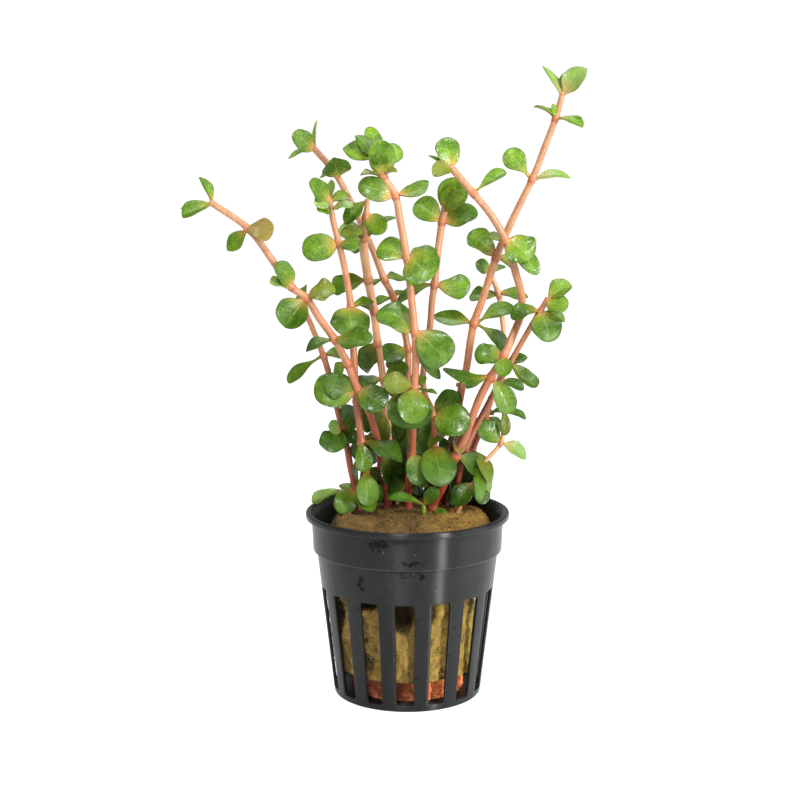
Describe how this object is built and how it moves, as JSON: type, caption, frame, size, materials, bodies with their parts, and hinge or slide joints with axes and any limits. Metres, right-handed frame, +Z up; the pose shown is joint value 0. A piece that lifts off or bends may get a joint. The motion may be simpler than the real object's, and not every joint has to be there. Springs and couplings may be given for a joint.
{
  "type": "potted rotala plant",
  "caption": "Potted orange juice rotala: coral stems with pairs of small rounded glossy green leaves in a dark slotted net pot filled with mineral wool.",
  "frame": {"origin": "centre of the pot's underside, on the surface it stands on", "axes": "+Z up along the pot's axis, the front of the plant towards -Y, +X to the right seen from the front"},
  "size_m": [0.1045, 0.055, 0.1673],
  "materials": {
    "leaf": "wet, glossy",
    "stem": "smooth, satin",
    "pot_plastic": "satin, moulded",
    "wool": "wet, fibrous",
    "clay": "unglazed, rough"
  },
  "bodies": {
    "root": {"stem_1": "stem", "leaf_pair_1_1": "leaf", "leaf_pair_1_2": "leaf", "leaf_pair_1_3": "leaf", "leaf_pair_1_4": "leaf", "leaf_pair_1_5": "leaf", "stem_2": "stem", "leaf_pair_2_1": "leaf", "leaf_pair_2_2": "leaf", "leaf_pair_2_3": "leaf", "stem_3": "stem", "leaf_pair_3_1": "leaf", "leaf_pair_3_2": "leaf", "leaf_pair_3_3": "leaf", "leaf_pair_3_4": "leaf", "stem_4": "stem", "leaf_pair_4_1": "leaf", "leaf_pair_4_2": "leaf", "leaf_pair_4_3": "leaf", "leaf_pair_4_4": "leaf", "leaf_pair_4_5": "leaf", "stem_5": "stem", "leaf_pair_5_1": "leaf", "leaf_pair_5_2": "leaf", "stem_6": "stem", "leaf_pair_6_1": "leaf", "leaf_pair_6_2": "leaf", "leaf_pair_6_3": "leaf", "leaf_pair_6_4": "leaf", "leaf_pair_6_5": "leaf", "leaf_pair_6_6": "leaf", "stem_7": "stem", "leaf_pair_7_1": "leaf", "leaf_pair_7_2": "leaf", "leaf_pair_7_3": "leaf", "leaf_pair_7_4": "leaf", "stem_8": "stem", "leaf_pair_8_1": "leaf", "leaf_pair_8_2": "leaf", "leaf_pair_8_3": "leaf", "leaf_pair_8_4": "leaf", "stem_9": "stem", "leaf_pair_9_1": "leaf", "leaf_pair_9_2": "leaf", "leaf_pair_9_3": "leaf", "stem_10": "stem", "leaf_pair_10_1": "leaf", "leaf_pair_10_2": "leaf", "stem_11": "stem", "leaf_pair_11_1": "leaf", "stem_12": "stem", "leaf_pair_12_1": "leaf", "leaf_pair_12_2": "leaf", "stem_13": "stem", "leaf_pair_13_1": "leaf", "seedling": "leaf", "pot": "pot_plastic", "clay": "clay", "rock_wool": "wool"}
  },
  "joints": []
}
